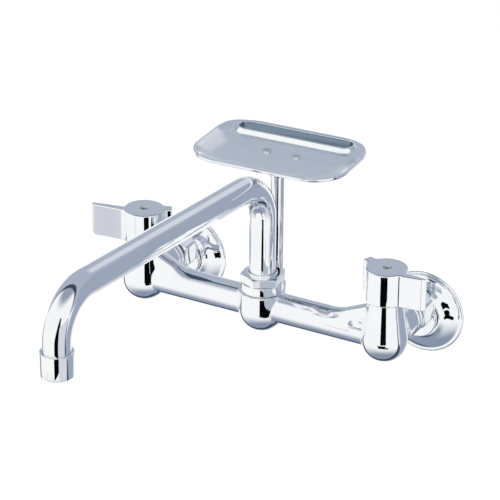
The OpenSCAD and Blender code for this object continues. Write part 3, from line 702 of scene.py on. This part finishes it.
def union_shape(P):
    x, y, z = P[..., 0], P[..., 1], P[..., 2] - UNION_Z
    r = np.hypot(x, z)
    w = np.abs(y - UNION_Y)
    d = smax(hexagon(x, z, UNION_HALF, 0), w - 8.15, 0.5)
    d = smax(d, r - 15.85, 0.4)
    d = smax(d, (r - 14.9) * 0.6 + (w - 7.4) * 0.8, 0.4)
    return np.maximum(d, -np.maximum(r - 11.8, -y - 27.2))


coupling_axes = (span(-17, 17, 0.9), span(-23, 1, 0.7), span(-17, 25, 0.9))
union_axes = (span(-18, 18, 0.6), span(-32, -14, 0.45), span(-7, 29, 0.6))
for side, name in ((1, "right"), (-1, "left")):
    ob = lathe(name + "_escutcheon", FLANGE, 192, sharp=60, closed=True)
    dress(place(ob, toward_room(side * HALF, 0)), "root", "chrome", name + "_flange")
    ob = net(name + "_offset_coupling", coupling_shape, coupling_axes)
    dress(place(ob, at(side * HALF, 0, 0)), "root", "chrome", name + "_coupling")
    ob = net(name + "_union_hex", union_shape, union_axes)
    dress(place(ob, at(side * HALF, 0, 0)), "root", "chrome", name + "_union_nut")

# World: white light, and a sky by direction that only reflections see.
# az is 0 ahead and 90 to the right, el is up, back_az is 180 behind,
# roll turns about X: 0 below, 90 ahead, 180 overhead, 270 behind.
BLACK = (0.001, 0.0015, 0.002, 1)
WHITE = lin(251, 252, 252)
world = bpy.data.worlds.new("studio")
SC.world = world
world.use_nodes = True
world.node_tree.nodes.clear()
g = Nodes(world.node_tree)
DEGREES = 180 / math.pi
sep = g.node("ShaderNodeSeparateXYZ")
g.link(g.node("ShaderNodeTexCoord").outputs["Generated"], sep.inputs[0])
dx, dy, dz = sep.outputs
front = g.math("MULTIPLY", dy, -1.0)
az = g.math("MULTIPLY", g.math("ARCTAN2", dx, front), DEGREES)
el = g.math("MULTIPLY", g.math("ARCSINE", dz), DEGREES)
roll = g.math("MULTIPLY", g.math("ARCTAN2", dz, front), DEGREES)
roll = g.math("MODULO", g.math("ADD", roll, 450.0), 360.0)
back_az = g.math("MODULO", g.math("ADD", az, 360.0), 360.0)

right_back = g.math("MULTIPLY", g.window(back_az, 104, 160, 6.0), g.step(el, 36, 30))
patch = g.math("MULTIPLY", g.window(back_az, 162, 196, 3.5), g.window(el, 24, 44, 4.0))
sky = WHITE
for mask, shade in (
        (g.step(el, -26, -66), lin(138, 150, 170)),
        (g.step(el, 40, 66), lin(150, 160, 176)),
        (g.window(roll, 186, 262, 3.0), lin(172, 181, 196)),
        (right_back, lin(158, 168, 186)),
        (patch, lin(212, 216, 225)),
        (g.window(roll, 177, 186, 2.0), lin(58, 70, 86)),
        (g.window(roll, 332, 353, 4.0), lin(60, 74, 90))):
    sky = g.mix(mask, sky, shade)
mirrored = g.node("ShaderNodeBackground")
g.link(sky, mirrored.inputs["Color"])
plain = g.node("ShaderNodeBackground")
plain.inputs["Color"].default_value = (1, 1, 1, 1)
mixer = g.node("ShaderNodeMixShader")
g.link(g.node("ShaderNodeLightPath").outputs["Is Glossy Ray"], mixer.inputs[0])
g.link(plain.outputs[0], mixer.inputs[1])
g.link(mirrored.outputs[0], mixer.inputs[2])
g.link(mixer.outputs[0], g.node("ShaderNodeOutputWorld").inputs[0])


# Boards that only the reflections see, in millimetres
def card(name, corners, shade, one_sided=False):
    """A flat glowing board; a one-sided board hides from behind."""
    ob = mesh(name, corners, [tuple(range(len(corners)))])
    m = bpy.data.materials.new(name)
    m.use_nodes = True
    m.node_tree.nodes.clear()
    k = Nodes(m.node_tree)
    glow = k.node("ShaderNodeEmission")
    glow.inputs["Color"].default_value = shade
    out = k.node("ShaderNodeOutputMaterial")
    if one_sided:
        x = k.node("ShaderNodeMixShader")
        k.link(k.node("ShaderNodeNewGeometry").outputs["Backfacing"], x.inputs[0])
        k.link(glow.outputs[0], x.inputs[1])
        k.link(k.node("ShaderNodeBsdfTransparent").outputs[0], x.inputs[2])
        k.link(x.outputs[0], out.inputs[0])
    else:
        k.link(glow.outputs[0], out.inputs[0])
    ob.data.materials.append(m)
    for ray in ("camera", "diffuse", "shadow", "transmission"):
        setattr(ob, "visible_" + ray, False)


def upright(y, *points):
    """Corners of a board that faces the room."""
    return [(x, y, z) for x, z in points]


def sideways(x, *points):
    """Corners of a board that faces along X."""
    return [(x, y, z) for y, z in points]


# The black stripes of barrels, boss, riser and left blade come from a wall of dark boards ahead
card("black_right", upright(-367, (76, -70), (266, -70), (290, -124), (96, -112)), BLACK)
card("black_barrel", upright(-367.5, (96, 10), (262, 10), (300, -50), (152, -50)), BLACK)
card("black_left", upright(-368, (72, -66), (400, -170), (400, -228), (92, -126), (72, -98)), BLACK)
card("black_boss", upright(-366, (88, -120), (172, -120), (170, -152), (90, -152)), BLACK)
card("black_left_barrel", sideways(-30, (-205, 8), (-84, 26), (-84, -6), (-205, -18)), BLACK, True)
card("boss_grey", sideways(30, (-112, 8), (-112, 34), (-78, 34), (-78, 13), (-87, 6), (-96, 2),
                           (-106, 2)), lin(178, 188, 200), True)
card("boss_hook", sideways(30, (-146, -25), (-146, -4), (-112, 8), (-106, 2), (-96, 2), (-87, 6),
                           (-78, 13), (-71, 15), (-82, 4), (-93, -5), (-104, -10)), BLACK, True)
for side in (-1, 1):
    turns = np.linspace(0, 2 * math.pi, 25)[:-1]
    disc = [(side * HALF + 25 * math.cos(t), -OUT - 25 * math.sin(t), 97) for t in turns]
    card("hub_shade", disc, lin(64, 76, 92), True)
card("nut_pale", [(30, -143, 8), (62, -117, 8), (62, -117, -3), (30, -143, -3)], lin(228, 228, 234))
card("tip_board", upright(-392, (1, 22), (66, 22), (64, 80), (52, 150), (34, 150), (4, 80)), BLACK)
card("tip_grey", [(22, -362, 12), (40, -318, 12), (40, -318, 110), (22, -362, 110)],
     lin(214, 217, 224))
card("post_strip", [(4.6, -56.7, 30), (8.0, -55.6, 30), (8.0, -55.6, 106), (4.6, -56.7, 106)], BLACK)
card("riser_left", upright(-118, (-34, 90), (21, 90), (16, 8), (-34, 8)), WHITE)
card("riser_right", upright(-118, (31, 90), (60, 90), (60, 8), (38, 8)), WHITE)
card("blade_grey", upright(-900, (-440, -315), (-399, -315), (-399, -410), (-440, -410)),
     lin(209, 210, 219))
card("slot_dark", [(-52, 0, 119.2), (52, 0, 119.2), (52, -18, 118.2), (-52, -18, 118.2)],
     lin(66, 82, 98))
card("slot_pale", [(-52, -18, 118.2), (52, -18, 118.2), (52, -34, 117), (-52, -34, 117)],
     lin(124, 142, 158))

# Pale floor well below, and a soft lamp
EDGE, FLOOR_Z = 2500, -420
floor = mesh("floor", [(-EDGE, -EDGE, FLOOR_Z), (EDGE, -EDGE, FLOOR_Z), (EDGE, EDGE, FLOOR_Z),
                       (-EDGE, EDGE, FLOOR_Z)], [(0, 1, 2, 3)])
pale = bpy.data.materials.new("pale_floor")
pale.use_nodes = True
shader = pale.node_tree.nodes["Principled BSDF"]
shader.inputs["Base Color"].default_value = (0.99, 0.99, 0.99, 1)
shader.inputs["Roughness"].default_value = 0.9
floor.data.materials.append(pale)
floor.visible_glossy = False

lamp = bpy.data.lights.new("key", "AREA")
lamp.energy = 12
lamp.size = 1.2
key = bpy.data.objects.new("key", lamp)
key.location = (-0.6, -1.2, 1.6)
key.rotation_euler = (math.radians(38), 0, math.radians(-25))
key.visible_glossy = False
SC.collection.objects.link(key)

# Camera fitted to the photograph: degrees, millimetres, pixels of a 500 x 500 picture
AZ, EL, ROLL = 28.6905, 25.8889, 0.4612
DIST, FOCAL, U0, V0 = 1894.365, 2463.6471, 304.5628, 280.3603
SIZE, SENSOR = 500, 36
a, e, q = math.radians(AZ), math.radians(EL), math.radians(ROLL)
look = np.array([-math.sin(a) * math.cos(e), math.cos(a) * math.cos(e), -math.sin(e)])
right = np.array([math.cos(a), math.sin(a), 0.0])
up = np.cross(right, look)
right, up = math.cos(q) * right + math.sin(q) * up, -math.sin(q) * right + math.cos(q) * up
aside, above = (U0 - SIZE / 2) / FOCAL * DIST, (V0 - SIZE / 2) / FOCAL * DIST
pos = -(look * DIST + right * aside - up * above)
cam = bpy.data.cameras.new("camera")
cam.sensor_width = SENSOR
cam.lens = FOCAL * SENSOR / SIZE
cam.clip_start = 0.05
cam.clip_end = 20
eye = bpy.data.objects.new("camera", cam)
rows = [[right[i], up[i], -look[i], pos[i] * 0.001] for i in range(3)]
eye.matrix_world = Matrix(rows + [[0, 0, 0, 1]])
SC.collection.objects.link(eye)
SC.camera = eye
SC.view_settings.view_transform = "Standard"
